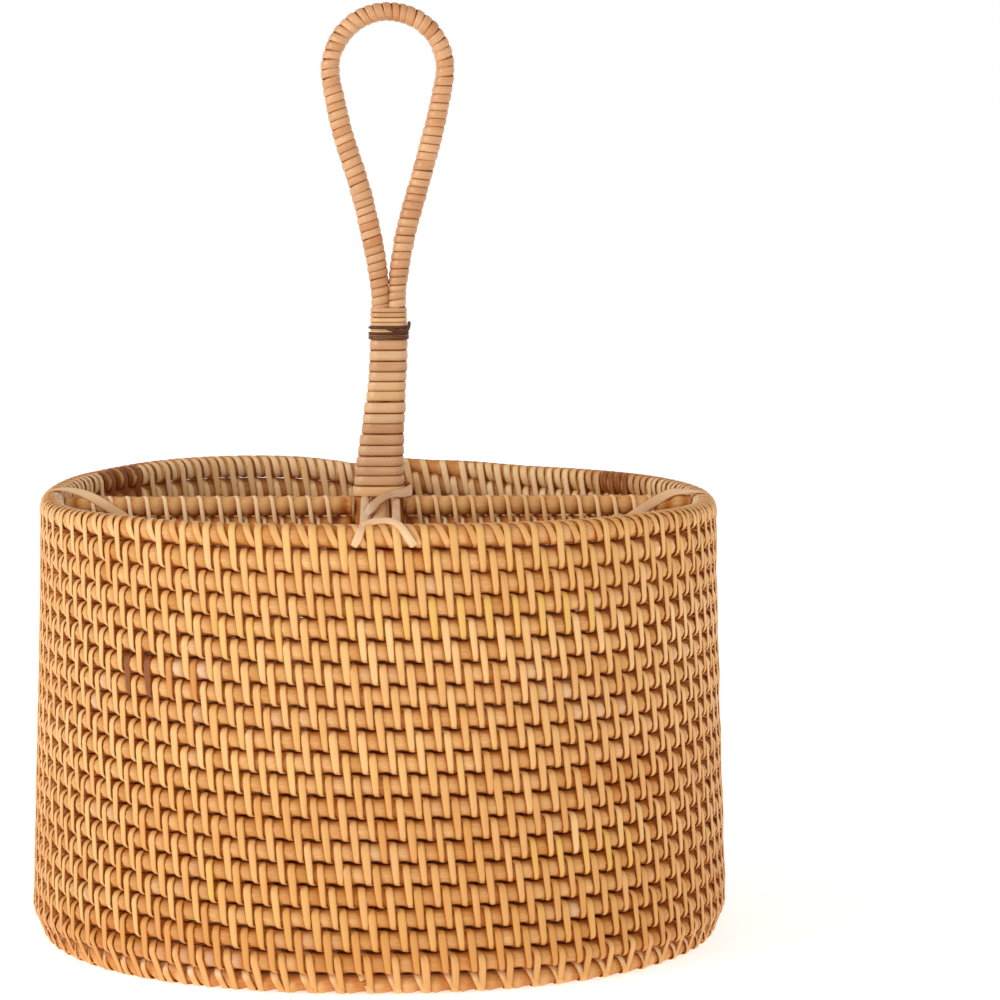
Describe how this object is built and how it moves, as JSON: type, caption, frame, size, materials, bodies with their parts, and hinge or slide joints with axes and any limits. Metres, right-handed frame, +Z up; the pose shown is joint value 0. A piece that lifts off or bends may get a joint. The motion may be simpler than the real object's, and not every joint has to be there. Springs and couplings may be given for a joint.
{
  "type": "cutlery holder",
  "caption": "Round coiled rattan cutlery holder with crossed dividers and a tall cane-bound loop handle to lift it by.",
  "frame": {"origin": "on the surface it stands on, under the middle of the base", "axes": "+Z up; the handle's loop and the short dividers lie in the XZ plane, the long divider runs along Y, and the pictured front faces -Y"},
  "size_m": [0.2058, 0.2057, 0.2726],
  "materials": {
    "rattan_core": "satin",
    "cane_peel": "semi-gloss",
    "rattan_pole": "satin",
    "dark_cane": "satin"
  },
  "bodies": {
    "root": {"base_rod": "rattan_core", "wall_rod_1": "rattan_core", "wall_rod_2": "rattan_core", "wall_rod_3": "rattan_core", "wall_rod_4": "rattan_core", "rim_rod": "rattan_core", "divider_front_back": "rattan_core", "divider_left": "rattan_core", "divider_right": "rattan_core", "rail_front_back": "rattan_core", "rail_left": "rattan_core", "rail_right": "rattan_core", "handle_pole": "rattan_pole", "loop_binding": "cane_peel", "stem_binding": "cane_peel", "dark_tie": "dark_cane", "lashing_left": "cane_peel", "lashing_right": "cane_peel", "brace_front_left": "cane_peel", "brace_front_right": "cane_peel", "brace_rear_left": "cane_peel", "brace_rear_right": "cane_peel"}
  },
  "joints": []
}
